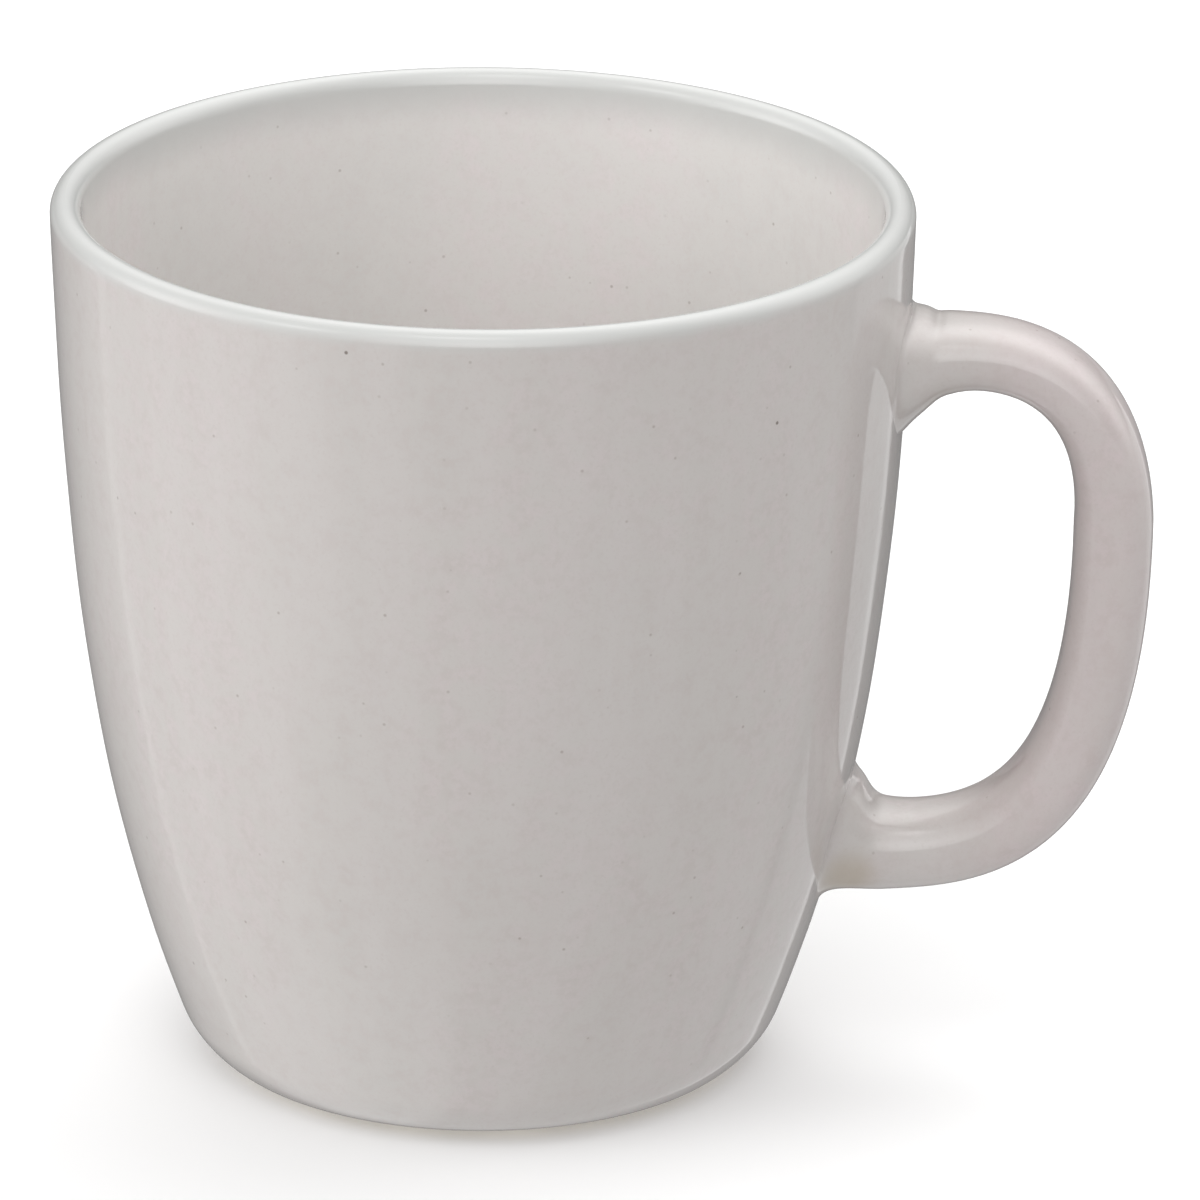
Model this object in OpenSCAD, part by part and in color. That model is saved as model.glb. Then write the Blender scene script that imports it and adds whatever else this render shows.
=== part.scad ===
// Ceramic mug: a round stoneware cup with a strap handle stuck to its wall and a glossy glaze.
// Frame: origin at the middle of the foot ring on the table, +Z up, handle along +X, millimetres.

/* [Cup] */
// Height from the table to the top of the lip
cup_h = 88.5; // [84:0.5:94]
// Outer radius at the lip, over the glaze
rim_r = 42; // [40:0.5:44]
// Outer radius of the foot ring
foot_r = 23.2; // [21:0.2:25]
// Inner radius of the foot ring
foot_in_r = 20.4; // [19:0.2:20.8]
// Height of the recess inside the foot ring
recess_h = 2; // [1:0.2:2.6]
// Radius where the rounded corner above the foot meets the wall
corner_r = 29.9; // [29:0.1:31]
// Height where the rounded corner above the foot meets the wall
corner_h = 5.4; // [4.6:0.1:6.4]
// Lean of the wall from upright at that corner, in degrees
corner_lean = 20; // [12:1:26]

/* [Wall] */
// Thickness of the lip, over the glaze
lip_t = 3; // [2.6:0.1:3.6]
// Thickness of the wall low down, over the glaze
wall_low_t = 4.8; // [4:0.1:5.4]
// Height of the glazed floor inside the cup
floor_h = 6.6; // [5.8:0.1:8]
// Thickness of the glaze coats
glaze_t = 0.4; // [0.3:0.05:0.6]

/* [Handle] */
// Width of the handle from side to side, bare
strap_w = 9.8; // [8:0.1:12]
// Thickness of the handle at its upper end, bare
strap_top_t = 5.6; // [5:0.1:7]
// Thickness of the handle from its outermost point down, bare
strap_low_t = 7; // [6:0.1:8]
// Squareness of the handle's section: 2 is an ellipse, more is squarer
section_power = 3; // [2.2:0.1:4]
// How far the handle's centre line stands out from the cup's axis
reach = 61.8; // [59:0.2:64]
// Height of the outermost point of that centre line
reach_h = 56.8; // [54:0.2:60]
// Height of the centre line where the upper end meets the wall
upper_h = 72.6; // [70:0.2:74]
// Height of the centre line where the lower end meets the wall
lower_h = 22; // [21:0.2:24]

/* [Handle ends] */
// Widening of each end to both sides where it meets the wall
end_widen = 0.9; // [0.4:0.1:1.4]
// Thickening of the upper end on the underside, towards the finger gap
upper_gusset = 4.3; // [3:0.1:5.4]
// Thickening of the lower end on its upper side, towards the finger gap
lower_gusset = 4; // [3:0.1:5]
// Thickening of each end on the side away from the finger gap
end_lip = 0.8; // [0.2:0.1:1.2]
// Length of handle over which its ends thicken
end_l = 3.5; // [3:0.5:6]
// Thickness of the slip that sticks each end to the clay wall
slip_t = 1; // [0.7:0.1:1.5]

/* [Hidden] */
wall_steps = 20;
corner_steps = 10;
arc_steps = 5;
top_steps = 22;
low_steps = 30;
section_sides = 24;
// Sides of every turned form
turned_sides = 120;
// Length of plain stub that carries each end of the handle form on into the wall
stub_l = 1;
// The glaze stops this many steps of the corner short of the foot
bare_steps = 3;
// Share of the wall curve that the inside's rounded bottom takes up
inner_start = 0.16;
lip_centre = [rim_r - lip_t / 2, cup_h - lip_t / 2];
// How the wall thins from the floor up to the lip: 1 is evenly
thinning_power = 1.5;
// Width of the sloping face between the foot ring and the recess, and how far in the recess's glaze stops
foot_slope = 1.2;
base_glaze_in = 1.6;
// How far each curve holds the direction that it starts or ends in
foot_pull = 3;
corner_pull = 2.7;
wall_low_pull = 24.6;
wall_top_pull = [1.1, 35.9];
inside_pull = 7;
upper_pull = [20.8, 5.4];
bend_up_pull = 8;
bend_down_pull = 39;
lower_pull = [11, 0.6];
// Where the inside's flat floor ends and where its bend is drawn towards, as shares of corner_r
floor_share = 0.45;
floor_pull_share = 0.82;
// Both ends start inside the clay wall, where the cup is cut out of them
upper_root = [rim_r - 4, upper_h];
lower_root = [rim_r - 9, lower_h];
// Height below the outermost point under which a handle end counts as the lower one
ends_apart = 10;
// Length of centre line from there to where the finger gap's side of each end meets the wall
upper_sunk = 3.3;
lower_sunk = 3.9;
// How the thickening dies away: 1 is a straight slope
end_power = 1.1;

corner_curve = [
    [foot_r, 0],
    [foot_r + foot_pull, 0],
    [corner_r - corner_pull * sin(corner_lean), corner_h - corner_pull * cos(corner_lean)],
    [corner_r, corner_h]
];
wall_curve = [
    [corner_r, corner_h],
    [corner_r + wall_low_pull * sin(corner_lean), corner_h + wall_low_pull * cos(corner_lean)],
    [rim_r - wall_top_pull[0], lip_centre[1] - wall_top_pull[1]],
    [rim_r, lip_centre[1]]
];
upper_path = [
    upper_root,
    upper_root + upper_pull,
    [reach, reach_h + bend_up_pull],
    [reach, reach_h]
];
lower_path = [
    [reach, reach_h],
    [reach, reach_h - bend_down_pull],
    lower_root + lower_pull,
    lower_root
];

function curve_point(c, t) =
    pow(1 - t, 3) * c[0] + 3 * t * pow(1 - t, 2) * c[1] + 3 * t * t * (1 - t) * c[2] + pow(t, 3) * c[3];
function curve_slope(c, t) =
    pow(1 - t, 2) * (c[1] - c[0]) + 2 * t * (1 - t) * (c[2] - c[1]) + t * t * (c[3] - c[2]);
function unit(v) = v / norm(v);
// Right-hand normal: points out of the cup on a curve that runs up its outside
function side(v) = [v[1], -v[0]];
// A point under the surface of a curve
function under(c, t, depth) = curve_point(c, t) - depth * side(unit(curve_slope(c, t)));
function wall_t(t) = lip_t + (wall_low_t - lip_t) * pow(1 - t, thinning_power);

// Outside of the cup at a depth under the glaze, from the foot to the lip
function corner_line(depth, first) =
    [for (i = [first : corner_steps]) under(corner_curve, i / corner_steps, depth * min(1, i / bare_steps))];
function wall_line(depth) = [for (i = [1 : wall_steps]) under(wall_curve, i / wall_steps, depth)];
// Part of the rounded lip, from one angle to another
function lip_line(depth, from, to) =
    [for (i = [1 : arc_steps]) let (a = from + (to - from) * i / arc_steps)
        lip_centre + (lip_t / 2 - depth) * [cos(a), sin(a)]];

// Inside of the cup at a depth under the glaze, from the lip down to the axis
inner_curve_end = under(wall_curve, inner_start, wall_t(inner_start));
inner_slope = unit(curve_slope(wall_curve, inner_start));
inner_curve = [
    [floor_share * corner_r, floor_h],
    [floor_pull_share * corner_r, floor_h],
    inner_curve_end - inside_pull * inner_slope,
    inner_curve_end
];
function inner_line(depth) = concat(
    [for (i = [wall_steps - 1 : -1 : 1]) let (t = inner_start + (1 - inner_start) * i / wall_steps)
        under(wall_curve, t, wall_t(t) - depth)],
    [for (i = [corner_steps : -1 : 0]) under(inner_curve, i / corner_steps, -depth)],
    [[0, floor_h - depth]]
);

// An outline turned about the cup's axis, starting on the side away from the handle
module turned(outline) {
    rotate([0, 0, 180])
        rotate_extrude($fn = turned_sides)
            polygon(outline);
}

// A coat between two lines that run the same way
module coat(outside, clay) {
    turned(concat(outside, [for (i = [len(clay) - 1 : -1 : 0]) clay[i]]));
}

// Everything inside the cup's outside, hollow included, less a depth
module cup_block(depth) {
    turned(concat(
        [[0, 0]],
        corner_line(depth, 0),
        wall_line(depth),
        lip_line(depth, 0, 90),
        [[0, cup_h - depth]]
    ));
}

// Section of the handle: half widths to both sides, outwards and towards the finger gap
function corner_of(a) = [
    sign(cos(a)) * pow(abs(cos(a)), 2 / section_power),
    sign(sin(a)) * pow(abs(sin(a)), 2 / section_power)
];
// One at the wall, falling to nothing where the end stops thickening
function near_end(p, root, sunk) = pow(max(0, min(1, 1 - (norm(p - root) - sunk) / end_l)), end_power);
function strap_half_t(p) =
    (strap_top_t + (strap_low_t - strap_top_t) * max(0, min(1, (upper_h - p[1]) / (upper_h - reach_h)))) / 2;
function section_at(c, t, grow) =
    let (p = curve_point(c, t))
    let (out = -side(unit(curve_slope(c, t))))
    let (up = near_end(p, upper_root, upper_sunk))
    let (low = near_end(p, lower_root, lower_sunk))
    let (half_w = strap_w / 2 + end_widen * (up + low) + grow)
    let (half_out = strap_half_t(p) + end_lip * (up + low) + grow)
    let (half_in = strap_half_t(p) + upper_gusset * up + lower_gusset * low + grow)
    [for (k = [0 : section_sides - 1])
        let (q = corner_of(360 * (k + 0.5) / section_sides))
        let (m = p + out * q[0] * (q[0] > 0 ? half_out : half_in))
        [m[0], half_w * q[1], m[1]]];

// The handle and both its ends as one swept form, grown by the glaze where asked
module strap_form(grow) {
    stub = [grow - stub_l, 0, 0];
    rings = concat(
        [[for (m = section_at(upper_path, 0, grow)) m + stub]],
        [for (i = [0 : top_steps]) section_at(upper_path, i / top_steps, grow)],
        [for (i = [1 : low_steps]) section_at(lower_path, i / low_steps, grow)],
        [[for (m = section_at(lower_path, 1, grow)) m + stub]]
    );
    n = section_sides;
    last = len(rings) - 1;
    polyhedron(
        points = [for (ring = rings) each ring],
        faces = concat(
            [[for (k = [n - 1 : -1 : 0]) k]],
            [for (j = [0 : last - 1]) for (k = [0 : n - 1])
                each [
                    [j * n + k, j * n + (k + 1) % n, j * n + n + k],
                    [j * n + n + k, j * n + (k + 1) % n, j * n + n + (k + 1) % n]
                ]],
            [[for (k = [0 : n - 1]) last * n + k]]
        )
    );
}

// One end of the handle form, between the clay wall and the face of the slip
module luting(low, high) {
    color([0.80, 0.76, 0.70])
        difference() {
            intersection() {
                strap_form(0);
                cup_block(glaze_t - slip_t);
                translate([0, -rim_r, low])
                    cube([2 * rim_r, 2 * rim_r, high - low]);
            }
            cup_block(glaze_t);
        }
}

module cup_body() {
    color([0.78, 0.73, 0.66])
        turned(concat(
            [[0, recess_h], [foot_in_r - foot_slope, recess_h], [foot_in_r, 0]],
            corner_line(glaze_t, 0),
            wall_line(glaze_t),
            lip_line(glaze_t, 0, 180),
            inner_line(glaze_t)
        ));
}

module handle() {
    color([0.79, 0.74, 0.67])
        difference() {
            strap_form(0);
            cup_block(glaze_t - slip_t);
        }
}

module upper_luting() {
    luting(reach_h, cup_h);
}

module lower_luting() {
    luting(0, reach_h - ends_apart);
}

module outer_glaze() {
    outside = concat(corner_line(0, bare_steps + 1), wall_line(0), lip_line(0, 0, 90));
    clay = concat(corner_line(glaze_t, bare_steps), wall_line(glaze_t), lip_line(glaze_t, 0, 90));
    color([0.81, 0.79, 0.77])
        difference() {
            coat(outside, clay);
            strap_form(glaze_t);
        }
}

module liner_glaze() {
    inside = concat([[lip_centre[0], cup_h]], lip_line(0, 90, 180), inner_line(0));
    clay = concat([[lip_centre[0], cup_h - glaze_t]], lip_line(glaze_t, 90, 180), inner_line(glaze_t));
    color([0.80, 0.78, 0.76])
        coat(clay, inside);
}

module handle_glaze() {
    color([0.82, 0.80, 0.78])
        difference() {
            strap_form(glaze_t);
            strap_form(0);
            cup_block(glaze_t);
        }
}

module base_glaze() {
    color([0.80, 0.78, 0.75])
        translate([0, 0, recess_h - glaze_t])
            cylinder(h = glaze_t, r = foot_in_r - base_glaze_in, $fn = turned_sides);
}

cup_body();
handle();
upper_luting();
lower_luting();
outer_glaze();
liner_glaze();
handle_glaze();
base_glaze();
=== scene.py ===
import math

import bmesh
import bpy
import numpy as np
from mathutils import Matrix, Vector


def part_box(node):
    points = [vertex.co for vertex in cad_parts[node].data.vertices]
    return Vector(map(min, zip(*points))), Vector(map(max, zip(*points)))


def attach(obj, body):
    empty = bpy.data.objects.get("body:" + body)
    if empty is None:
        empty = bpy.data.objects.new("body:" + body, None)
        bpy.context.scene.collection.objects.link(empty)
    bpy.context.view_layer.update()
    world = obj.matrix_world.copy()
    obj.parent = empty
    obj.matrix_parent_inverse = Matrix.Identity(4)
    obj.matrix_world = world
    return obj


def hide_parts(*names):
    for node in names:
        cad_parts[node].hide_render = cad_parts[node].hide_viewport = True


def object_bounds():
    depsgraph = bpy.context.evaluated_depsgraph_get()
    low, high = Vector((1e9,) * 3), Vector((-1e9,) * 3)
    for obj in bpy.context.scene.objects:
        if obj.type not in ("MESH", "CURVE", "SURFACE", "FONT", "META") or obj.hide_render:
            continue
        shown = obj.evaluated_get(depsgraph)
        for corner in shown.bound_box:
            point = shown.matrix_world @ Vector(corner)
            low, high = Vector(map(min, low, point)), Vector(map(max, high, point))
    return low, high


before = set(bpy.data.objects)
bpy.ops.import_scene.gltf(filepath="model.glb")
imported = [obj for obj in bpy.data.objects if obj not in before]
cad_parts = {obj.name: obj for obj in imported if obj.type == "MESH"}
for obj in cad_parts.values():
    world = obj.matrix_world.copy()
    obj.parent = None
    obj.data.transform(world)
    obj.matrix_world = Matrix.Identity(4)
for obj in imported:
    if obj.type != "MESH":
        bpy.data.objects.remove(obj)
cad_box = [list(map(float, c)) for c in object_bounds()]

# ---------------------------------------------------------------- sizes, in millimetres
MM = 0.001
LOW, HIGH = 0, 1
X, Y, Z = 0, 1, 2


def cad_mm(node, corner, axis):
    """A coordinate of a CAD node's box, in millimetres to the nearest tenth."""
    return round(float(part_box(node)[corner][axis]) / MM, 1)


# the cup
CUP_H = cad_mm("liner_glaze", HIGH, Z)
RIM_R = cad_mm("outer_glaze", HIGH, Y)
FOOT_R = 23.2
FOOT_IN_R = 20.4
RECESS_H = 2.0
CORNER_R, CORNER_H = 29.9, 5.4
LEAN = math.radians(20)
LIP_T = 3.0
WALL_LOW_T = 4.8
THINNING = 1.5
FLOOR_H = 6.6
GLAZE_T = 0.4

# the cup's unevenness: the height and the radius where it starts, and the stretch over which it comes in
UNEVEN_Z, UNEVEN_R, UNEVEN_OVER = 0.5, 12, 14

# how far the outline's curves reach before they bend
FOOT_PULL, CORNER_PULL = 3.0, 2.7
WALL_LOW_PULL, WALL_TOP_PULL = 24.6, np.array([1.1, 35.9])
FLOOR_SHARE, FLOOR_PULL_SHARE, INSIDE_PULL = 0.45, 0.82, 7.0
INNER_START = 0.16     # how far up the wall's curve its inside turns into the floor
GLAZE_IN = 0.3         # how far round the corner the coat comes to its full depth
FLAT_SHARES = np.array([0.8, 0.6, 0.4, 0.2, 0.06])     # rings on the flat middle of the floor, by its radius
AXIS_R = 0.8           # the outline of the underside starts this near the axis and closes on it

# the handle, with its glaze
STRAP_W, STRAP_TOP_T, STRAP_LOW_T = 10.6, 6.4, 7.8
STRAP_POWER = 2.7      # 2 would be an ellipse in section, and more is squarer
REACH, REACH_H = cad_mm("handle_glaze", HIGH, X) - STRAP_LOW_T / 2, 56.8
UPPER_IN, UPPER_H = 4.0, 72.6
LOWER_IN, LOWER_H = 9.0, 22.0
UPPER_PULL, LOWER_PULL = np.array([20.8, 5.4]), np.array([11.0, 0.6])
BEND_UP_PULL, BEND_DOWN_PULL = 8.0, 39.0

# the strap thickens and widens towards the wall: by how much, over what distance, and the outer side's share
ROOT_T, ROOT_T_OVER, ROOT_T_OUTER_SHARE = 1.3, 4.2, 0.15
ROOT_W, ROOT_W_OVER = 0.8, 5.5

# each end of the handle: which way is away from the finger gap, height of the landing's middle, how much
# wider than the strap it lands, its reach away from the gap and towards it, how straight the gusset in the
# gap is, and how far off the wall the strap turns into the end
UPPER_END = dict(sign=1, centre=73.0, wider=3.4, outw=5.4, inw=6.9, straight=0.9, off=3.9)
LOWER_END = dict(sign=-1, centre=23.2, wider=3.2, outw=6.2, inw=7.0, straight=0.6, off=5.0)

# the curve from strap to wall: how strongly it keeps to the strap's direction and to the wall's face, how
# much less of the first the gusset has, and how steeply the gusset meets the wall
KEEP_STRAP, KEEP_WALL, KEEP_LESS, GUSSET_DIVE = 0.40, 0.32, 0.12, 0.55
BEAD_UNDER_GLAZE = 0.6      # the beads of slip are flatter under the glaze

# holes in the outer glaze under the handle's ends: half width, beyond half the strap's, and half height
UPPER_HOLE, LOWER_HOLE = (0.6, 5.0), (0.4, 4.9)

# mesh density
AROUND = 240
CORNER_N, WALL_N, LIP_N, INNER_N, FLOOR_N, FOOT_N = 20, 84, 14, 84, 24, 6
STRAP_AROUND, END_RINGS, UPPER_RINGS, LOWER_RINGS = 72, 20, 46, 63
SLIP_RINGS = 5         # rings at each end of the handle that belong to the slip
SEARCH_N = 2001        # steps along a curve when it is searched for a place
CRISP = math.radians(50)    # edges that turn more than this are shaded as corners

# ---------------------------------------------------------------- curves


def curve_point(c, t):
    """Points of a cubic curve with four control points."""
    t = np.asarray(t, float)[..., None]
    return (1 - t) ** 3 * c[0] + 3 * t * (1 - t) ** 2 * c[1] + 3 * t * t * (1 - t) * c[2] + t ** 3 * c[3]


def curve_slope(c, t):
    """Which way a cubic curve runs. The length of the result isn't used."""
    t = np.asarray(t, float)[..., None]
    return (1 - t) ** 2 * (c[1] - c[0]) + 2 * t * (1 - t) * (c[2] - c[1]) + t * t * (c[3] - c[2])


def unit(v):
    """Vectors made one long."""
    return v / np.linalg.norm(v, axis=-1, keepdims=True)


def side(v):
    """A direction in a plane, turned a quarter to the right."""
    return np.stack([v[..., 1], -v[..., 0]], -1)


def under(c, t, depth):
    """Points of a curve, moved in by a depth."""
    return curve_point(c, t) - np.asarray(depth, float)[..., None] * side(unit(curve_slope(c, t)))


def wall_t(t):
    """Thickness of the wall along its curve."""
    return LIP_T + (WALL_LOW_T - LIP_T) * (1 - np.asarray(t, float)) ** THINNING


lean_v = np.array([math.sin(LEAN), math.cos(LEAN)])
corner_end = np.array([CORNER_R, CORNER_H])
lip_c = np.array([RIM_R - LIP_T / 2, CUP_H - LIP_T / 2])
lip_out = lip_c + [LIP_T / 2, 0]
CORNER = np.array([[FOOT_R, 0], [FOOT_R + FOOT_PULL, 0], corner_end - CORNER_PULL * lean_v, corner_end])
WALL = np.array([corner_end, corner_end + WALL_LOW_PULL * lean_v, lip_out - WALL_TOP_PULL, lip_out])
inner_end = under(WALL, INNER_START, wall_t(INNER_START))
INNER = np.array([[FLOOR_SHARE * CORNER_R, FLOOR_H], [FLOOR_PULL_SHARE * CORNER_R, FLOOR_H],
                  inner_end - INSIDE_PULL * unit(curve_slope(WALL, INNER_START)), inner_end])


def outside_line(depth, start):
    """Outside of the cup from the corner above the foot to the lip's crest, at a depth under the glaze."""
    t = np.arange(start, CORNER_N + 1) / CORNER_N
    corner = under(CORNER, t, depth * np.minimum(1, t / GLAZE_IN))
    wall = under(WALL, np.arange(1, WALL_N + 1) / WALL_N, np.full(WALL_N, depth))
    a = np.radians(90) * np.arange(1, LIP_N + 1) / LIP_N
    lip = lip_c + (LIP_T / 2 - depth) * np.stack([np.cos(a), np.sin(a)], -1)
    return np.vstack([corner, wall, lip])


def inside_line(depth):
    """Inside of the cup from the lip's crest down to the floor, near the axis."""
    a = np.radians(90 + 90 * np.arange(0, LIP_N + 1) / LIP_N)
    lip = lip_c + (LIP_T / 2 - depth) * np.stack([np.cos(a), np.sin(a)], -1)
    t = INNER_START + (1 - INNER_START) * np.arange(INNER_N - 1, 0, -1) / INNER_N
    wall = under(WALL, t, wall_t(t) - depth)
    low = under(INNER, np.arange(FLOOR_N, -1, -1) / FLOOR_N, np.full(FLOOR_N + 1, -depth))
    r = low[-1, 0] * FLAT_SHARES
    flat = np.stack([r, np.full(len(r), low[-1, 1])], -1)
    return np.vstack([lip, wall, low, flat])


# ---------------------------------------------------------------- mesh building


def new_object(name, verts, faces):
    """A smooth-shaded mesh object without loose points, its faces turned outwards and its corners crisp."""
    mesh = bpy.data.meshes.new(name)
    mesh.from_pydata([tuple(map(float, v)) for v in verts], [], faces)
    mesh.validate()
    mesh.update()
    mesh.polygons.foreach_set("use_smooth", [True] * len(mesh.polygons))
    bm = bmesh.new()
    bm.from_mesh(mesh)
    bmesh.ops.delete(bm, geom=[v for v in bm.verts if not v.link_faces], context="VERTS")
    bmesh.ops.recalc_face_normals(bm, faces=bm.faces)
    bm.to_mesh(mesh)
    bm.free()
    mesh.set_sharp_from_angle(angle=CRISP)
    obj = bpy.data.objects.new(name, mesh)
    bpy.context.scene.collection.objects.link(obj)
    return obj


def ring_faces(count, around, base=0, flip=False):
    """Faces between rings of points that follow each other, the first ring starting at base."""
    faces = []
    for i in range(count - 1):
        row, after = base + i * around, base + (i + 1) * around
        for k in range(around):
            m = (k + 1) % around
            quad = (row + k, row + m, after + m, after + k)
            faces.append(quad[::-1] if flip else quad)
    return faces


def capped_faces(count, around):
    """Faces of rings whose two ends are closed on the two points that come after the rings."""
    faces = ring_faces(count, around)
    last, first_mid = (count - 1) * around, count * around
    for k in range(around):
        m = (k + 1) % around
        faces.append((first_mid, m, k))
        faces.append((first_mid + 1, last + k, last + m))
    return faces


def uneven(ang, z):
    """Slow unevenness of a turned and glazed wall, in millimetres."""
    return (0.05 * np.sin(2 * ang + 0.6 + 0.02 * z) + 0.035 * np.sin(3 * ang + 2.1 - 0.05 * z)
            + 0.02 * np.sin(7 * ang + 0.11 * z) + 0.018 * np.sin(0.33 * z + 1.2) * np.sin(ang + 1))


def fade(r, z):
    """No unevenness at the foot and the floor's middle, all of it up the wall."""
    return np.clip((z - UNEVEN_Z) / UNEVEN_OVER, 0, 1) * np.clip((r - UNEVEN_R) / UNEVEN_OVER, 0, 1)


def turned_points(line):
    """The points of a line of radii and heights turned about the axis, by place on the line and by angle."""
    ang = 2 * math.pi * np.arange(AROUND) / AROUND
    r, z = line[:, 0][:, None], line[:, 1][:, None]
    rr = r + fade(r, z) * uneven(ang[None, :], z)
    zz = np.broadcast_to(z, rr.shape)
    return np.stack([rr * np.cos(ang), rr * np.sin(ang), zz], -1) * MM


def middle(z):
    """The point on the cup's axis at a height."""
    return np.array([[0, 0, z]]) * MM


def turned_solid(name, line):
    """A closed solid from a line turned about the axis, both ends of the line closed on the axis."""
    verts = np.vstack([turned_points(line).reshape(-1, 3), middle(line[0, 1]), middle(line[-1, 1])])
    return new_object(name, verts, capped_faces(len(line), AROUND))


def turned_coat(name, outer, clay, hole=None, to_axis=False):
    """A coat between two lines of the same length, open where hole says, with walls round the opening.
    to_axis closes the far end of both lines on the axis."""
    n = len(outer)
    gone = np.zeros((n - 1, AROUND), bool)
    if hole is not None:
        ang = 2 * math.pi * (np.arange(AROUND) + 0.5) / AROUND
        mid = (outer[1:] + outer[:-1]) / 2
        gone = hole(mid[:, 0][:, None], ang[None, :], mid[:, 1][:, None])

    def skin(i, k):
        """Number of a point on the coat's outside, by place on the line and by angle."""
        return i * AROUND + k % AROUND

    def back(i, k):
        """Number of the point behind it, on the clay."""
        return n * AROUND + skin(i, k)

    faces = []
    for i in range(n - 1):
        for k in range(AROUND):
            if gone[i, k]:
                continue
            faces.append((skin(i, k), skin(i, k + 1), skin(i + 1, k + 1), skin(i + 1, k)))
            faces.append((back(i, k), back(i + 1, k), back(i + 1, k + 1), back(i, k + 1)))
            if i > 0 and gone[i - 1, k]:
                faces.append((skin(i, k), back(i, k), back(i, k + 1), skin(i, k + 1)))
            if i < n - 2 and gone[i + 1, k]:
                faces.append((skin(i + 1, k), skin(i + 1, k + 1), back(i + 1, k + 1), back(i + 1, k)))
            if gone[i, k - 1]:
                faces.append((skin(i, k), skin(i + 1, k), back(i + 1, k), back(i, k)))
            if gone[i, (k + 1) % AROUND]:
                faces.append((skin(i, k + 1), back(i, k + 1), back(i + 1, k + 1), skin(i + 1, k + 1)))
    last = n - 1
    for k in range(AROUND):
        faces.append((skin(0, k), back(0, k), back(0, k + 1), skin(0, k + 1)))
        if to_axis:
            faces.append((skin(last, k), skin(last, k + 1), 2 * n * AROUND))
            faces.append((back(last, k + 1), back(last, k), 2 * n * AROUND + 1))
        else:
            faces.append((skin(last, k), skin(last, k + 1), back(last, k + 1), back(last, k)))
    verts = np.vstack([turned_points(outer).reshape(-1, 3), turned_points(clay).reshape(-1, 3),
                       middle(outer[-1, 1]), middle(clay[-1, 1])])
    return new_object(name, verts, faces)


# ---------------------------------------------------------------- handle
reach = np.array([REACH, REACH_H])
upper_root = np.array([RIM_R - UPPER_IN, UPPER_H])
lower_root = np.array([RIM_R - LOWER_IN, LOWER_H])
UPPER = np.array([upper_root, upper_root + UPPER_PULL, reach + [0, BEND_UP_PULL], reach])
LOWER = np.array([reach, reach - [0, BEND_DOWN_PULL], lower_root + LOWER_PULL, lower_root])
wall_rz = outside_line(0, 0)

# the strap's section is a rounded rectangle: how far out and how far sideways it goes, by angle
PHI = 2 * math.pi * np.arange(STRAP_AROUND) / STRAP_AROUND
OUTWARD = np.sign(np.cos(PHI)) * np.abs(np.cos(PHI)) ** (2 / STRAP_POWER)
SIDEWAYS = np.sign(np.sin(PHI)) * np.abs(np.sin(PHI)) ** (2 / STRAP_POWER)


def hump(s, height, at, spread):
    """A smooth hump of a height, round one place."""
    return height * np.exp(-((s - at) / spread) ** 2)


def wall_radius(z):
    """Radius of the cup's outside at a height."""
    return np.interp(z, wall_rz[:, 1], wall_rz[:, 0])


def wall_x(y, z):
    """Where a line along X at this y and height meets the cup's outside, unevenness included."""
    r0 = wall_radius(z)
    x = np.sqrt(np.maximum(r0 ** 2 - y ** 2, 1))
    for _ in range(3):
        ang = np.arctan2(y, x)
        r = r0 + fade(r0, z) * uneven(ang, z)
        x = np.sqrt(np.maximum(r ** 2 - y ** 2, 1))
    return x


def strap_half_t(p):
    """Half the strap's thickness at a point of its middle. It thickens from the upper end to the bend."""
    share = np.clip((UPPER_H - p[..., 1]) / (UPPER_H - REACH_H), 0, 1)
    return (STRAP_TOP_T + (STRAP_LOW_T - STRAP_TOP_T) * share) / 2


def strap_ring(c, t, grow):
    """One ring of the strap, a little thicker and wider towards the wall."""
    p = curve_point(c, t)
    out = -side(unit(curve_slope(c, t)))
    off = p[0] - wall_radius(p[1])
    thicker = hump(off, ROOT_T, 0, ROOT_T_OVER)
    wider = hump(off, ROOT_W, 0, ROOT_W_OVER)
    h = strap_half_t(p) + grow + np.where(OUTWARD < 0, thicker, ROOT_T_OUTER_SHARE * thicker)
    m = p + out * (OUTWARD * h)[:, None]
    return np.stack([m[:, 0], (STRAP_W / 2 + grow + wider) * SIDEWAYS, m[:, 1]], -1)


def end_start(c, off, from_end):
    """Curve parameter where the strap's centre line is a set distance off the wall."""
    ts = np.linspace(0, 1, SEARCH_N)
    p = curve_point(c, ts)
    clear = ts[p[:, 0] - wall_radius(p[:, 1]) >= off]
    return clear.max() if from_end else clear.min()


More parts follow.
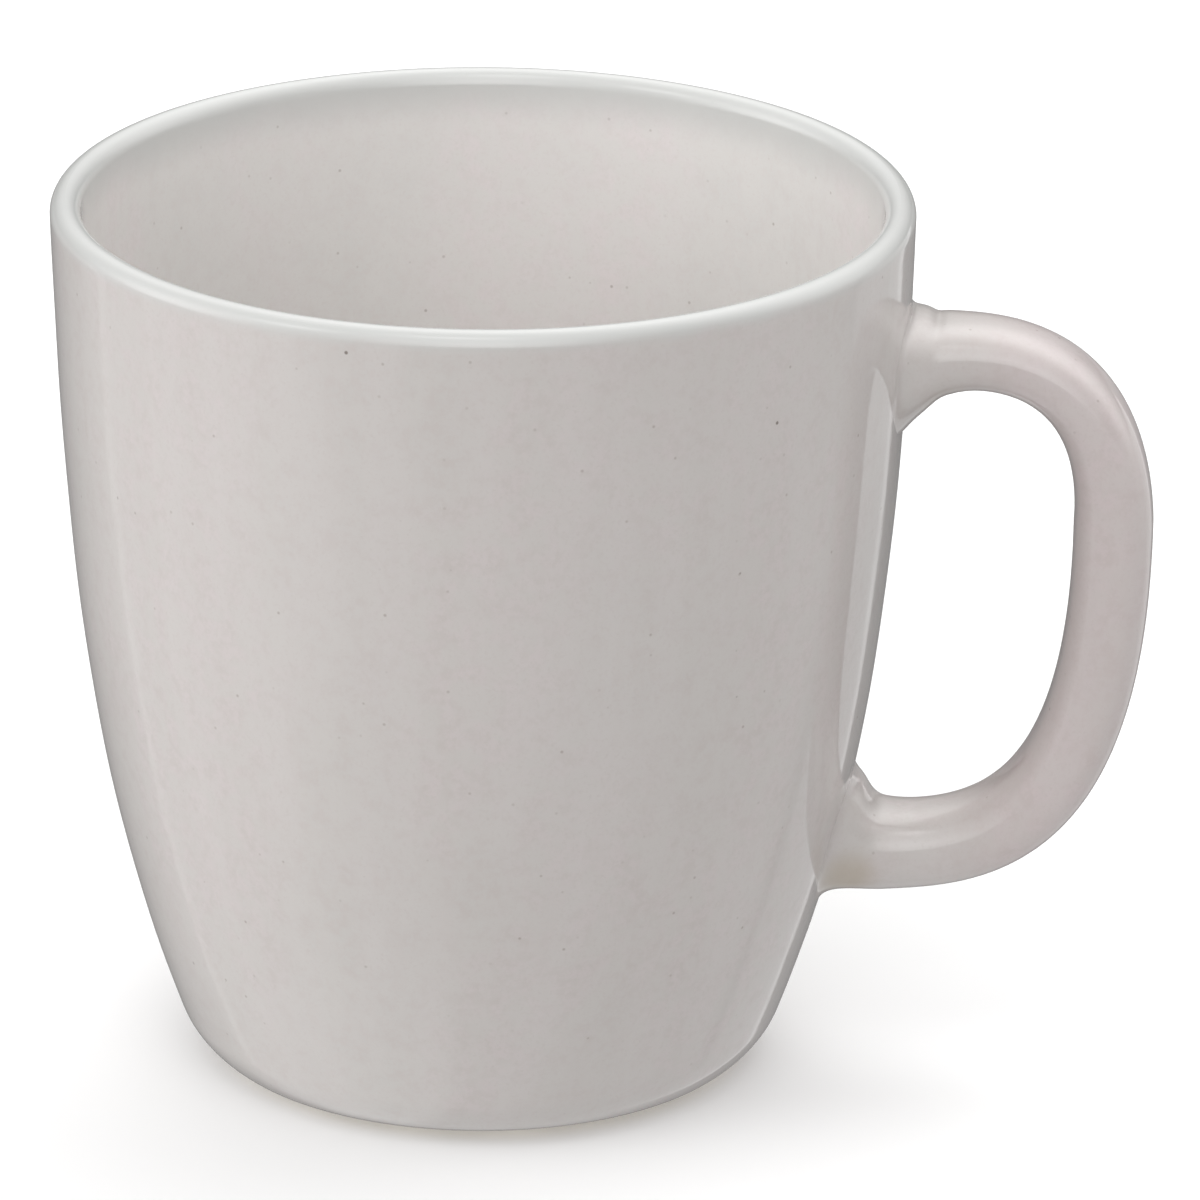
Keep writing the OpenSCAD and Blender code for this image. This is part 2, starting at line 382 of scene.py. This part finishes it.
def end_patch(ring, direction, end, bead, bead_share, grow):
    """Rings that carry a strap's end on from its last ring to the wall, landing along the wall's face."""
    half_w, sign = STRAP_W / 2 + end["wider"] + grow, end["sign"]
    y1 = half_w * SIDEWAYS
    z1 = end["centre"] + sign * np.where(OUTWARD > 0, end["outw"] + grow, end["inw"] + grow) * OUTWARD
    x1 = wall_x(y1, z1) + grow
    land = np.stack([x1, y1, z1], -1)
    # outward along the wall's face at the landing, away from the end's middle
    step = 0.25
    away = unit(np.stack([np.zeros_like(y1), y1 / half_w, sign * OUTWARD], -1) + 1e-9)
    yy, zz = y1 + step * away[:, 1], z1 + step * away[:, 2]
    along_wall = unit(np.stack([wall_x(yy, zz) + grow - x1, step * away[:, 1], step * away[:, 2]], -1))
    span = np.linalg.norm(land - ring, axis=1)[:, None]
    gap_side = np.clip(-OUTWARD, 0, 1)
    cut = (end["straight"] * gap_side)[:, None]
    into = unit(along_wall * (1 - 0.5 * cut) + np.array([-1.0, 0, 0]) * GUSSET_DIVE * cut)
    h0 = ring + direction * (KEEP_STRAP - KEEP_LESS * cut) * span
    h1 = land - into * KEEP_WALL * span
    rings = []
    for s in np.arange(1, END_RINGS + 1) / END_RINGS:
        q = (1 - s) ** 3 * ring + 3 * s * (1 - s) ** 2 * h0 + 3 * s * s * (1 - s) * h1 + s ** 3 * land
        mid = np.array([q[:, 0].mean(), 0, q[:, 2].mean()])
        radial = unit((q - mid) * np.array([0.0, 1, 1]) + 1e-9)
        radial[:, 0] += 0.5 * (1 - end["straight"]) * gap_side
        rings.append(q + radial * bead_share * bead(s)[:, None])
    return rings


def bead_upper(s):
    """Slip squeezed out round the upper end: a dip where its top meets the strap and a low swelling."""
    top, low = 0.5 + 0.5 * np.cos(PHI), 0.5 - 0.5 * np.cos(PHI)
    dip = hump(s, -0.20, 0.18, 0.10) * top ** 5
    swell = hump(s, 0.30, 0.45, 0.20) * (0.1 + 0.7 * top ** 1.5 + 0.7 * low ** 2)
    return (dip + swell) * (1 + 0.25 * np.sin(3 * PHI + 0.8))


def bead_lower(s):
    """Slip squeezed out round the lower end, most of it in the finger gap."""
    low = 0.5 - 0.5 * np.cos(PHI)
    swell = hump(s, 0.42, 0.52, 0.26) * (0.05 + 0.95 * low ** 2)
    return swell * (1 + 0.25 * np.sin(2 * PHI + 2.3))


def handle_rings(grow):
    """All rings of the handle from wall to wall: the glaze's surface, or the clay's when grow is below 0."""
    upper_t = end_start(UPPER, UPPER_END["off"], False)
    lower_t = end_start(LOWER, LOWER_END["off"], True)
    strap = [strap_ring(UPPER, t, grow) for t in np.linspace(upper_t, 1, UPPER_RINGS)]
    strap += [strap_ring(LOWER, t, grow) for t in np.linspace(0, lower_t, LOWER_RINGS + 1)[1:]]
    share = BEAD_UNDER_GLAZE if grow < 0 else 1
    up = end_patch(strap[0], unit(strap[0] - strap[1]), UPPER_END, bead_upper, share, grow)
    low = end_patch(strap[-1], unit(strap[-1] - strap[-2]), LOWER_END, bead_lower, share, grow)
    return up[::-1] + strap + low


def tube_solid(name, rings, start_mid, end_mid):
    """A closed solid from rings and the two points in the middle of its ends."""
    verts = np.vstack(rings + [start_mid[None], end_mid[None]]) * MM
    return new_object(name, verts, capped_faces(len(rings), STRAP_AROUND))


def tube_coat(name, outer, inner):
    """A coat between two sets of rings, closed at both ends."""
    n = len(outer)
    faces = ring_faces(n, STRAP_AROUND) + ring_faces(n, STRAP_AROUND, n * STRAP_AROUND, True)
    for row in (0, n - 1):
        skin, back = row * STRAP_AROUND, (n + row) * STRAP_AROUND
        for k in range(STRAP_AROUND):
            m = (k + 1) % STRAP_AROUND
            faces.append((skin + k, skin + m, back + m, back + k))
    return new_object(name, np.vstack(outer + inner) * MM, faces)


def on_wall(z):
    """The point in the middle of the handle's landing at a height, under the glaze."""
    return np.array([wall_radius(z) - GLAZE_T, 0, z])


glazed, bare_rings = handle_rings(0.0), handle_rings(-GLAZE_T)
upper_cut, lower_cut = bare_rings[SLIP_RINGS].mean(0), bare_rings[-SLIP_RINGS - 1].mean(0)
clay_handle = tube_solid("clay_handle", bare_rings[SLIP_RINGS:-SLIP_RINGS], upper_cut, lower_cut)
upper_mid, lower_mid = on_wall(UPPER_END["centre"] - 1), on_wall(LOWER_END["centre"] + 1)
slip_upper = tube_solid("slip_upper", bare_rings[:SLIP_RINGS + 1], upper_mid, upper_cut)
slip_lower = tube_solid("slip_lower", bare_rings[-SLIP_RINGS - 1:], lower_cut, lower_mid)
glaze_handle = tube_coat("glaze_handle", glazed, bare_rings)


def landing(y, z, end, hole):
    """True inside a rounded rectangle within an end's landing on the wall."""
    wider, half_h = hole
    mid = end["centre"] + end["sign"] * (end["outw"] - end["inw"]) / 2
    return (np.abs(y) / (STRAP_W / 2 + wider)) ** 3 + (np.abs(z - mid) / half_h) ** 3 < 1


def end_hole(r, ang, z):
    """Where the outer glaze is open under the handle's ends, clear of their rims."""
    y = r * np.sin(ang)
    return (np.cos(ang) > 0) & (landing(y, z, UPPER_END, UPPER_HOLE) | landing(y, z, LOWER_END, LOWER_HOLE))


# ---------------------------------------------------------------- cup pieces
FOOT_FLAT_IN = 1.3     # the last ring of the foot's flat underside is this far in from its edge
GLAZE_START = 7        # the point of the corner's outline where the glaze begins, above the bare foot
GLAZE_END_T = 0.25     # how thick the glaze is there, as a share of the coat
skin_line, clay_line = outside_line(0, GLAZE_START), outside_line(GLAZE_T, GLAZE_START)
skin_line[0] = clay_line[0] + GLAZE_END_T * (skin_line[0] - clay_line[0])
glaze_wall = turned_coat("glaze_wall", skin_line, clay_line, end_hole)
glaze_liner = turned_coat("glaze_liner", inside_line(0), inside_line(GLAZE_T), to_axis=True)

recess_edge, base_edge = FOOT_IN_R - 1.2, FOOT_IN_R - 1.6
corner_t = np.arange(FOOT_N + 1) / FOOT_N
FOOT_INNER = np.array([[recess_edge, RECESS_H], [FOOT_IN_R - 0.7, 1.0],
                       [FOOT_IN_R - 0.2, 0], [FOOT_IN_R + 0.5, 0]])
recess = [[AXIS_R, RECESS_H], [recess_edge / 2, RECESS_H]]
foot_ring = [*curve_point(FOOT_INNER, corner_t), [FOOT_R - FOOT_FLAT_IN, 0]]
clay_cup_line = np.vstack([recess, foot_ring, outside_line(GLAZE_T, 0), inside_line(GLAZE_T)[1:]])
clay_cup = turned_solid("clay_cup", clay_cup_line)

base_low = RECESS_H - GLAZE_T
BASE_CORNER = np.array([[base_edge - 0.6, base_low], [base_edge - 0.2, base_low],
                        [base_edge, base_low + 0.2], [base_edge, RECESS_H]])
base_under = [[AXIS_R, base_low], [base_edge / 2, base_low]]
base_top = [[base_edge / 2, RECESS_H], [AXIS_R, RECESS_H]]
glaze_base = turned_solid("glaze_base", np.vstack([base_under, curve_point(BASE_CORNER, corner_t), base_top]))

# ---------------------------------------------------------------- materials
GREY, PALE = (0.562, 0.528, 0.517), (0.728, 0.702, 0.693)
COOL, PINK = (0.966, 0.984, 0.968), (1.018, 0.990, 0.996)           # tints of the glaze's clouds
BROWN, GREEN = (0.945, 0.93, 0.915), (0.988, 1.002, 0.984)          # tints of its mottling
LIGHT = (1.05, 1.05, 1.05)                                          # tint of its runs
BLUSH, BLUSH_FROM, BLUSH_TO = (1.010, 0.968, 0.980), 0.042, 0.054   # the handle's tint, coming in along X
FINE_IRON, DARK_IRON = (0.25, 0.20, 0.17), (0.14, 0.11, 0.09)
STAIN_BROWN = (0.40, 0.335, 0.25)
LOWER_STAIN = ((0.0365, -0.0065, 0.0206), 0.0042, 0.6)              # where, radius and strength
UPPER_STAIN = ((0.0450, -0.0030, 0.0705), 0.0045, 0.3)
LIP_WHITE = (0.540, 0.548, 0.536)
LIP_FULL, LIP_WAVE = 0.0886, 0.001     # the height where the lip is whitest, and how far its line wanders
GLAZE_IOR = 1.52
GLAZE_ROUGH, CLAY_ROUGH = (0.035, 0.08), (0.75, 0.95)
WAVE_DEPTH, PEEL_DEPTH, GRAIN_DEPTH = 0.00006, 0.000006, 0.0001
BARE_CLAY, HANDLE_CLAY, SLIP = (0.66, 0.61, 0.54), (0.57, 0.48, 0.38), (0.60, 0.52, 0.43)
CLOUD_SHADE, GRAIN_SHADE = (0.88, 0.88, 0.88), (0.6, 0.6, 0.6)


def material(name):
    """A new material, its node tree and its Principled shader."""
    mat = bpy.data.materials.new(name)
    mat.use_nodes = True
    return mat, mat.node_tree, mat.node_tree.nodes["Principled BSDF"]


def object_point(nt):
    """The point's place on the object, in metres."""
    return nt.nodes.new("ShaderNodeTexCoord").outputs["Object"]


def object_xyz(nt):
    """The same place as three outputs, X, Y and Z."""
    xyz = nt.nodes.new("ShaderNodeSeparateXYZ")
    nt.links.new(object_point(nt), xyz.inputs["Vector"])
    return xyz.outputs


def mapped(nt, scale):
    """The point's place on the object, stretched along each axis."""
    mp = nt.nodes.new("ShaderNodeMapping")
    mp.inputs["Scale"].default_value = scale
    nt.links.new(object_point(nt), mp.inputs["Vector"])
    return mp.outputs["Vector"]


def noise(nt, scale, detail=2.0, rough=0.5):
    """Noise with so many lumps to the metre along each axis."""
    n = nt.nodes.new("ShaderNodeTexNoise")
    n.inputs["Scale"].default_value = 1.0
    n.inputs["Detail"].default_value = detail
    n.inputs["Roughness"].default_value = rough
    nt.links.new(mapped(nt, scale), n.inputs["Vector"])
    return n.outputs["Fac"]


def ramp(nt, value, lo, hi, to_lo=0.0, to_hi=1.0):
    """A smooth step from to_lo to to_hi as the value goes from lo to hi."""
    r = nt.nodes.new("ShaderNodeMapRange")
    r.interpolation_type = "SMOOTHSTEP"
    for name, number in (("From Min", lo), ("From Max", hi), ("To Min", to_lo), ("To Max", to_hi)):
        r.inputs[name].default_value = number
    nt.links.new(value, r.inputs["Value"])
    return r.outputs["Result"]


def mix(nt, factor, a, b, kind="MIX"):
    """Colour a mixed with colour b, or multiplied by it, by a factor. Each is an output or a plain colour."""
    m = nt.nodes.new("ShaderNodeMix")
    m.data_type = "RGBA"
    m.blend_type = kind
    for sock, val in ((m.inputs["Factor"], factor), (m.inputs["A"], a), (m.inputs["B"], b)):
        if hasattr(val, "links"):
            nt.links.new(val, sock)
        else:
            sock.default_value = (*val, 1.0)
    return m.outputs["Result"]


def maths(nt, kind, *values):
    """The result of one kind of sum. Each value is an output or a plain number."""
    node = nt.nodes.new("ShaderNodeMath")
    node.operation = kind
    for sock, val in zip(node.inputs, values):
        if hasattr(val, "links"):
            nt.links.new(val, sock)
        else:
            sock.default_value = val
    return node.outputs[0]


def bump(nt, value, depth, under_it=None):
    """A normal from a value, so many metres deep, on top of another normal."""
    node = nt.nodes.new("ShaderNodeBump")
    node.inputs["Strength"].default_value = 1.0
    node.inputs["Distance"].default_value = depth
    nt.links.new(value, node.inputs["Height"])
    if under_it is not None:
        nt.links.new(under_it, node.inputs["Normal"])
    return node.outputs["Normal"]


def tinted(base, tint):
    """A colour times a tint."""
    return tuple(b * t for b, t in zip(base, tint))


def specks(nt, cells_per_m, inner, outer, rarest, strength):
    """Spots of iron, inner to outer cells in radius, in the share of the cells above rarest; 0 elsewhere."""
    cells = nt.nodes.new("ShaderNodeTexVoronoi")
    cells.inputs["Scale"].default_value = 1.0
    cells.inputs["Randomness"].default_value = 1.0
    nt.links.new(mapped(nt, (cells_per_m,) * 3), cells.inputs["Vector"])
    sep = nt.nodes.new("ShaderNodeSeparateColor")
    nt.links.new(cells.outputs["Color"], sep.inputs["Color"])
    spot = ramp(nt, cells.outputs["Distance"], inner, outer, 1.0, 0.0)
    return maths(nt, "MULTIPLY", spot, ramp(nt, sep.outputs["Red"], rarest, 1.0, 0.0, strength))


def mottled_glaze(nt, base, cloud, runs, mottled):
    """Colour of a speckled stoneware glaze: clouds, mottling, faint vertical runs and grain."""
    cool, pink, brown, green, light = (tinted(base, tint) for tint in (COOL, PINK, BROWN, GREEN, LIGHT))
    c = mix(nt, ramp(nt, cloud, 0.38, 0.62), cool, pink)
    c = mix(nt, ramp(nt, noise(nt, (900, 900, 900), 4.0, 0.7), 0.38, 0.66, 0.0, mottled), c, brown)
    c = mix(nt, ramp(nt, noise(nt, (420, 420, 420)), 0.35, 0.65, 0.0, 0.8), c, green)
    if runs:
        c = mix(nt, ramp(nt, noise(nt, (150, 150, 8), 1.5), 0.4, 0.7, 0.0, 0.4 * runs), c, light)
        c = mix(nt, ramp(nt, noise(nt, (300, 300, 10), 1.0), 0.55, 0.75, 0.0, 0.22 * runs), c, brown)
    return mix(nt, ramp(nt, noise(nt, (2600, 2600, 2600), 2.0, 0.6), 0.5, 0.75, 0.0, 0.6), c, brown)


def stained(nt, c, cloud, where, radius, strength):
    """A brown patch of thin glaze round a point, in metres."""
    away = nt.nodes.new("ShaderNodeVectorMath")
    away.operation = "DISTANCE"
    away.inputs[1].default_value = where
    nt.links.new(object_point(nt), away.inputs[0])
    spot = ramp(nt, away.outputs["Value"], 0.2 * radius, radius, strength, 0.0)
    return mix(nt, maths(nt, "MULTIPLY", spot, ramp(nt, cloud, 0.3, 0.55)), c, STAIN_BROWN)


def thin_over_lip(nt, c, starts_at):
    """The glaze breaks white over the lip, from a slightly wavy line at a height in metres."""
    wavy = maths(nt, "MULTIPLY_ADD", noise(nt, (150, 150, 150)), LIP_WAVE, object_xyz(nt)["Z"])
    return mix(nt, ramp(nt, wavy, starts_at, LIP_FULL, 0.0, 0.9), c, LIP_WHITE)


def glaze_material(name, base, lip=None, runs=1.0, mottled=1.0, blush=None, stains=()):
    """Glossy stoneware glaze with iron specks. lip is the height where it starts to break white, blush is a
    tint of the glaze well away from the wall, and stains are brown patches: where, radius and strength."""
    mat, nt, bsdf = material(name)
    cloud = noise(nt, (55, 55, 26), 3.0)
    c = mottled_glaze(nt, base, cloud, runs, mottled)
    if blush:
        c = mix(nt, ramp(nt, object_xyz(nt)["X"], BLUSH_FROM, BLUSH_TO), c, blush, "MULTIPLY")
    c = mix(nt, specks(nt, 480, inner=0.03, outer=0.11, rarest=0.40, strength=0.5), c, FINE_IRON)
    c = mix(nt, specks(nt, 300, inner=0.03, outer=0.075, rarest=0.91, strength=0.8), c, DARK_IRON)
    for where, radius, strength in stains:
        c = stained(nt, c, cloud, where, radius, strength)
    if lip:
        c = thin_over_lip(nt, c, lip)
    nt.links.new(c, bsdf.inputs["Base Color"])
    bsdf.inputs["IOR"].default_value = GLAZE_IOR
    nt.links.new(ramp(nt, noise(nt, (260, 260, 260), 3.0), 0.3, 0.75, *GLAZE_ROUGH), bsdf.inputs["Roughness"])
    waves = bump(nt, noise(nt, (110, 110, 38), 1.0), WAVE_DEPTH)
    nt.links.new(bump(nt, noise(nt, (900, 900, 900)), PEEL_DEPTH, waves), bsdf.inputs["Normal"])
    return mat


def clay_material(name, base):
    """Unglazed stoneware: clouds, dark grains and a rough, grainy surface."""
    mat, nt, bsdf = material(name)
    grain = noise(nt, (1400, 1400, 1400), 4.0, 0.6)
    c = mix(nt, ramp(nt, noise(nt, (130, 130, 130), 3.0), 0.35, 0.65), base, tinted(base, CLOUD_SHADE))
    c = mix(nt, ramp(nt, grain, 0.58, 0.74, 0.0, 0.7), c, tinted(base, GRAIN_SHADE))
    nt.links.new(c, bsdf.inputs["Base Color"])
    nt.links.new(ramp(nt, grain, 0.3, 0.7, *CLAY_ROUGH), bsdf.inputs["Roughness"])
    nt.links.new(bump(nt, grain, GRAIN_DEPTH), bsdf.inputs["Normal"])
    return mat


glaze = glaze_material("outer glaze", GREY, lip=0.0868)
liner = glaze_material("liner glaze", PALE, lip=0.0830, runs=0.25, mottled=0.6)
hglaze = glaze_material("handle glaze", GREY, blush=BLUSH, stains=[LOWER_STAIN, UPPER_STAIN])
bglaze = glaze_material("base glaze", GREY)
bare = clay_material("bare stoneware", BARE_CLAY)
hidden = clay_material("handle stoneware", HANDLE_CLAY)
slip = clay_material("slip", SLIP)

for obj, mat, node, slot in (
        (glaze_wall, glaze, "outer_glaze", "outer_glaze"),
        (glaze_liner, liner, "liner_glaze", "liner_glaze"),
        (glaze_handle, hglaze, "handle_glaze", "handle_glaze"),
        (glaze_base, bglaze, "base_glaze", "base_glaze"),
        (clay_cup, bare, "cup_body", "clay"),
        (clay_handle, hidden, "handle", "handle_clay"),
        (slip_upper, slip, "upper_luting", "slip"),
        (slip_lower, slip, "lower_luting", "slip")):
    obj.data.materials.append(mat)
    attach(obj, "root")
    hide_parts(node)

# ---------------------------------------------------------------- floor
scene = bpy.context.scene
scene.view_settings.view_transform = "Standard"
scene.view_settings.look = "None"
FLOOR_HALF = 4.0
GROUND = cad_box[LOW][Z] - 0.02 * MM     # a hair under the foot, so that no two faces lie in one plane


def make_floor():
    """A pale floor that takes the mug's shadow. It doesn't light the mug or show in the glaze, since the
    world does that."""
    corners = [(-1, -1), (1, -1), (1, 1), (-1, 1)]
    mesh = bpy.data.meshes.new("floor")
    mesh.from_pydata([(x * FLOOR_HALF, y * FLOOR_HALF, GROUND) for x, y in corners], [], [(0, 1, 2, 3)])
    floor = bpy.data.objects.new("floor", mesh)
    scene.collection.objects.link(floor)
    mat, nt, bsdf = material("floor")
    bsdf.inputs["Base Color"].default_value = (0.93, 0.93, 0.93, 1)
    bsdf.inputs["Roughness"].default_value = 0.9
    bsdf.inputs["Specular IOR Level"].default_value = 0.1
    mesh.materials.append(mat)
    floor.visible_glossy = floor.visible_diffuse = floor.visible_shadow = False


make_floor()

# ---------------------------------------------------------------- camera and light
CAM_TURN = math.radians(4)     # the camera stands this far to the right of straight in front
CAM_DIST = 1.0
CAM_CLIMB = 0.31907            # elevation of the camera seen from the lip, in radians
CAM_YAW, CAM_PITCH, CAM_ROLL = 0.01158, 0.35638, 0.00814
LENS, SENSOR = 325.5, 36


def around(azimuth, dist, height):
    """A point at an azimuth round the mug: 0 is on the camera's side, and positive is to the right."""
    a = CAM_TURN + math.radians(azimuth)
    return np.array([dist * math.sin(a), -dist * math.cos(a), height])


def make_camera():
    """The photograph's camera, fitted to the mug's outline and lip."""
    yaw, pitch, roll = CAM_YAW - CAM_TURN, CAM_PITCH, CAM_ROLL
    fwd = Vector((math.sin(yaw) * math.cos(pitch), math.cos(yaw) * math.cos(pitch), -math.sin(pitch)))
    right = Vector((math.cos(yaw), -math.sin(yaw), 0))
    up = right.cross(fwd)
    across = math.cos(roll) * right + math.sin(roll) * up
    upward = math.cos(roll) * up - math.sin(roll) * right
    cam_data = bpy.data.cameras.new("camera")
    cam_data.lens = LENS
    cam_data.sensor_width = SENSOR
    cam_data.clip_start = 0.01
    cam = bpy.data.objects.new("camera", cam_data)
    scene.collection.objects.link(cam)
    cam.matrix_world = Matrix((across, upward, -fwd)).transposed().to_4x4()
    cam.location = around(0, CAM_DIST, CUP_H * MM + CAM_DIST * math.tan(CAM_CLIMB))
    scene.camera = cam


# soft light of the studio by direction: azimuth, elevation, sharpness, strength
LAMPS = [
    (0, 90, 4, 0.3),
    (0, 50, 8, 1.4), (-13, 68, 60, 2.0), (-60, 42, 60, 2.4),
    (120, 50, 8, 1.7),
    (180, 50, 8, 2.2),
    (0, 15, 10, 2.6),
    (105, 15, 10, 1.25),
    (-90, 15, 10, 3.2),
    (-45, 15, 10, 0.4)]
LIT_FLOOR, SHADED_FLOOR = 1.2, 0.75      # straight down, left of the mug's own shadow and in it
SHADE_FROM, SHADE_TO = -0.20, -0.07      # how far to the right a direction points as that shadow begins
DOWN_FROM, DOWN_TO = -0.93, -0.65        # how far up a direction points as the floor gives way to the strips
HORIZON = 0.03                           # half the height over which the strips give way to the lamps
BACKDROP = 0.95                          # what shows beyond the floor in low views
# what the glaze mirrors from below the horizon, by azimuth: dark behind, bright at the sides, dimmer in front
MIRRORED = [
    (-180, 0.22), (-160, 0.24), (-150, 0.30), (-137, 0.40), (-125, 0.66), (-123.5, 1.05), (-122, 1.0),
    (-119, 0.85), (-103, 0.88), (-100.5, 1.1), (-98, 0.90), (-65, 0.93),
    (-35, 0.46), (35, 0.46),
    (65, 0.58), (105, 0.74), (112, 0.76), (115.5, 0.58), (117.5, 0.56), (119, 0.84), (140, 0.84),
    (146.5, 0.85), (148, 1.1), (149.8, 1.1), (151.8, 0.32), (180, 0.22)]


def along(nt, axis):
    """How far the ray's direction points along an axis."""
    node = nt.nodes.new("ShaderNodeVectorMath")
    node.operation = "DOT_PRODUCT"
    nt.links.new(nt.nodes.new("ShaderNodeTexCoord").outputs["Generated"], node.inputs[0])
    node.inputs[1].default_value = axis
    return node.outputs["Value"]


def blend(nt, factor, a, b):
    """Brightness a turned into brightness b by a factor. b may be a plain number."""
    node = nt.nodes.new("ShaderNodeMix")
    nt.links.new(factor, node.inputs["Factor"])
    nt.links.new(a, node.inputs["A"])
    if hasattr(b, "links"):
        nt.links.new(b, node.inputs["B"])
    else:
        node.inputs["B"].default_value = b
    return node.outputs["Result"]


def lamp_light(nt):
    """The light of all lamps by direction."""
    light = None
    for azimuth, elevation, sharpness, strength in LAMPS:
        e = math.radians(elevation)
        toward = maths(nt, "MAXIMUM", along(nt, around(azimuth, math.cos(e), math.sin(e))), 0.0)
        lamp = maths(nt, "MULTIPLY", maths(nt, "POWER", toward, sharpness), strength)
        light = lamp if light is None else maths(nt, "ADD", light, lamp)
    return light


def mirrored_light(nt):
    """What the glaze mirrors from below the horizon, by azimuth."""
    node = nt.nodes.new("ShaderNodeValToRGB")
    turn = maths(nt, "ARCTAN2", along(nt, around(90, 1, 0)), along(nt, around(0, 1, 0)))
    nt.links.new(maths(nt, "MULTIPLY_ADD", turn, 0.5 / math.pi, 0.5), node.inputs["Fac"])
    stops = node.color_ramp.elements
    for i, (azimuth, value) in enumerate(MIRRORED):
        at = (azimuth + 180) / 360
        stop = stops[i] if i < 2 else stops.new(at)
        stop.position = at
        stop.color = (value, value, value, 1)
    return node.outputs["Color"]


def make_world():
    """The studio as a world by direction: soft lamps above the horizon, and what the glaze mirrors below."""
    world = bpy.data.worlds.new("studio")
    scene.world = world
    world.use_nodes = True
    nt = world.node_tree
    background = nt.nodes["Background"]
    floor_light = ramp(nt, along(nt, around(90, 1, 0)), SHADE_FROM, SHADE_TO, LIT_FLOOR, SHADED_FLOOR)
    height = along(nt, (0, 0, 1))
    below = blend(nt, ramp(nt, height, DOWN_FROM, DOWN_TO), floor_light, mirrored_light(nt))
    studio = blend(nt, ramp(nt, height, -HORIZON, HORIZON), below, lamp_light(nt))
    to_camera = nt.nodes.new("ShaderNodeLightPath").outputs["Is Camera Ray"]
    nt.links.new(blend(nt, to_camera, studio, BACKDROP), background.inputs["Strength"])
    background.inputs["Color"].default_value = (1, 1, 1, 1)


make_camera()
make_world()
